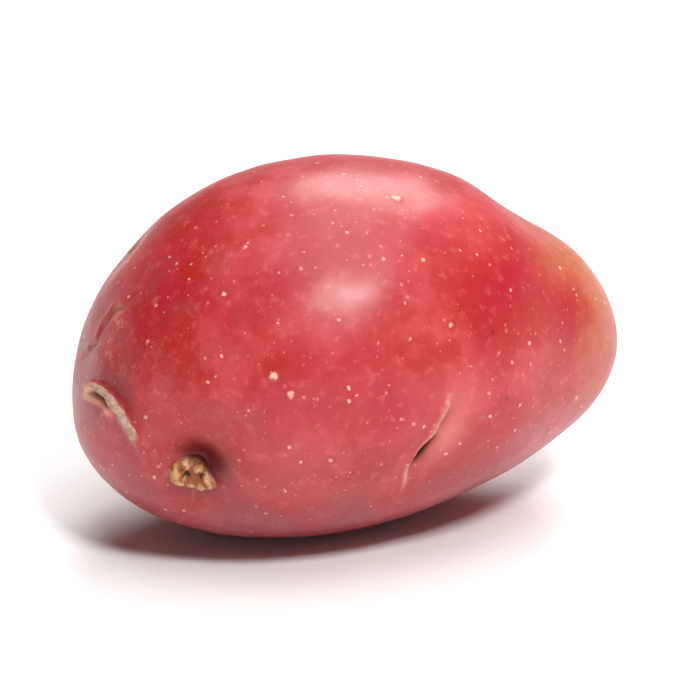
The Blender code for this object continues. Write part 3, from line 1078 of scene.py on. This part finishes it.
def skin_finish():
    """Waxy red potato skin with pores, netting, cork and eyes."""
    skin = Finish("potato_skin")
    colour, stem_end = paint_flesh(skin)
    colour = paint_texture(skin, colour)
    colour, pores = paint_pores(skin, colour)
    colour, crack = paint_crack(skin, colour, stem_end)
    colour, small_brow = paint_small_eyes(skin, colour)
    colour, slit = paint_slit_eye(skin, colour)
    colour, brow = paint_brow_eye(skin, colour)
    colour, cork = paint_stem_scar(skin, colour)
    skin.feed(skin.shader.inputs["Base Color"], colour)

    dry_crack = skin.times(crack, CRACK_DRYNESS)
    dry_pores = skin.times(pores, PORE_DRYNESS)
    dry = largest(skin, brow, cork, slit, small_brow, dry_crack, dry_pores)
    smooth = skin.plus(skin.pushed(skin.noise(GLOSS_STREAKS), ROUGHNESS_SPREAD), SKIN_ROUGHNESS)
    gap = skin.sum("SUBTRACT", DRY_ROUGHNESS, smooth)
    skin.feed(skin.shader.inputs["Roughness"], skin.sum("MULTIPLY_ADD", gap, dry, smooth))
    skin.feed(skin.shader.inputs["Specular IOR Level"], SKIN_GLOSS)
    skin.feed(skin.shader.inputs["Coat Weight"], WAX_COAT)
    skin.feed(skin.shader.inputs["Coat Roughness"], WAX_ROUGHNESS)

    height = skin.times(skin.noise(SOFT_BUMPS), SOFT_BUMP_HEIGHT)
    height = skin.plus(height, skin.times(skin.noise(LEATHER), LEATHER_HEIGHT))
    height = skin.plus(height, skin.times(pores, PORE_BUMP_HEIGHT))
    height = skin.plus(height, skin.times(crack, CRACK_BUMP_HEIGHT))
    grain = skin.times(skin.noise(DRY_GRAIN), DRY_GRAIN_HEIGHT)
    height = skin.plus(height, skin.times(grain, skin.sum("MAXIMUM", cork, brow)))
    bump = skin.add("Bump")
    bump.inputs["Distance"].default_value = 1.0
    skin.feed(bump.inputs["Height"], height)
    skin.feed(skin.shader.inputs["Normal"], bump.outputs["Normal"])
    return skin.material


# Studio: the potato lies on a wide white floor, and all lamps and the camera look at one aim
FLOOR_SIZE = 6.0
FLOOR_WHITE = (0.93, 0.93, 0.93)
BACKDROP_WHITE = (0.95, 0.95, 0.95)
CEILING_GREY = (0.05, 0.05, 0.05)
# Where the backdrop ends and where the ceiling is full, from 0 at the horizon to 1 straight up
BACKDROP_TOP = 0.05
CEILING_FULL = 0.14
AIM = Vector((0.0, 0.0, 0.026))
LAMP_DISTANCE = 0.75
KEY_TOWARDS = (0.075, -0.640, 0.765)
KEY_WIDTH = 0.17
KEY_HEIGHT = 0.13
KEY_WATTS = 4.1
# Far lamps light the whole floor evenly; spread is how wide they look, in degrees
FarLamp = namedtuple("FarLamp", "name towards spread strength")
FAR_LAMPS = [
    FarLamp("overhead_lamp", towards=(0.12, -0.08, 0.98), spread=48, strength=1.70),
    FarLamp("back_lamp", towards=(0.36, 0.58, 0.74), spread=32, strength=2.10),
]
CAMERA_AZIMUTH = -20
CAMERA_ELEVATION = 20
CAMERA_DISTANCE = 0.52
CAMERA_LENS = 180


def towards(azimuth, elevation):
    """Direction from the potato to a place around it: azimuth 0 is the front and 90 is +X."""
    turn = np.radians(azimuth)
    rise = np.radians(elevation)
    return Vector((np.sin(turn) * np.cos(rise), -np.cos(turn) * np.cos(rise), np.sin(rise)))


def look_from(thing, direction, distance):
    """Put a lamp or camera this far out from the aim, looking back at it."""
    thing.location = AIM + direction * distance
    thing.rotation_euler = direction.to_track_quat("Z", "Y").to_euler()
    bpy.context.scene.collection.objects.link(thing)


def make_floor():
    """Wide plain floor, white and quite dull."""
    mesh = bpy.data.meshes.new("floor")
    half = FLOOR_SIZE / 2
    corners = [(-half, -half, 0), (half, -half, 0), (half, half, 0), (-half, half, 0)]
    mesh.from_pydata(corners, [], [(0, 1, 2, 3)])
    finish = Finish("white_floor")
    finish.feed(finish.shader.inputs["Base Color"], FLOOR_WHITE)
    finish.feed(finish.shader.inputs["Roughness"], 1.0)
    finish.feed(finish.shader.inputs["Specular IOR Level"], 0.0)
    mesh.materials.append(finish.material)
    floor = bpy.data.objects.new("floor", mesh)
    bpy.context.scene.collection.objects.link(floor)


def light_studio():
    """White backdrop under a dark grey ceiling, a key lamp and two wide far lamps."""
    world = bpy.data.worlds.new("studio")
    world.use_nodes = True
    nodes = world.node_tree.nodes
    links = world.node_tree.links
    coordinates = nodes.new("ShaderNodeTexCoord")
    heading = nodes.new("ShaderNodeSeparateXYZ")
    rise = nodes.new("ShaderNodeMapRange")
    shade = nodes.new("ShaderNodeMix")
    rise.interpolation_type = "SMOOTHSTEP"
    rise.inputs["From Min"].default_value = BACKDROP_TOP
    rise.inputs["From Max"].default_value = CEILING_FULL
    shade.data_type = "RGBA"
    shade.inputs[MIX_FIRST].default_value = (*BACKDROP_WHITE, 1.0)
    shade.inputs[MIX_SECOND].default_value = (*CEILING_GREY, 1.0)
    links.new(coordinates.outputs["Generated"], heading.inputs[0])
    links.new(heading.outputs["Z"], rise.inputs["Value"])
    links.new(rise.outputs["Result"], shade.inputs[0])
    links.new(shade.outputs[MIX_RESULT], nodes["Background"].inputs["Color"])
    bpy.context.scene.world = world

    key = bpy.data.lights.new("key_lamp", "AREA")
    key.shape = "RECTANGLE"
    key.size = KEY_WIDTH
    key.size_y = KEY_HEIGHT
    key.energy = KEY_WATTS
    hang_lamp(key, KEY_TOWARDS)
    for lamp in FAR_LAMPS:
        light = bpy.data.lights.new(lamp.name, "SUN")
        light.angle = np.radians(lamp.spread)
        light.energy = lamp.strength
        hang_lamp(light, lamp.towards)


def hang_lamp(light, direction):
    """Hang a lamp in this direction from the potato, out of the camera's sight."""
    thing = bpy.data.objects.new(light.name, light)
    thing.visible_camera = False
    look_from(thing, Vector(direction).normalized(), LAMP_DISTANCE)


def place_camera():
    """Long lens from the front left and a little above, centred on the potato."""
    camera = bpy.data.cameras.new("camera")
    camera.lens = CAMERA_LENS
    thing = bpy.data.objects.new("camera", camera)
    look_from(thing, towards(CAMERA_AZIMUTH, CAMERA_ELEVATION), CAMERA_DISTANCE)
    bpy.context.scene.camera = thing


potato_skin = make_skin()
potato_skin.data.materials.append(skin_finish())
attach(potato_skin, "root")
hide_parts("potato")
make_floor()
light_studio()
place_camera()
bpy.context.scene.view_settings.view_transform = "Standard"
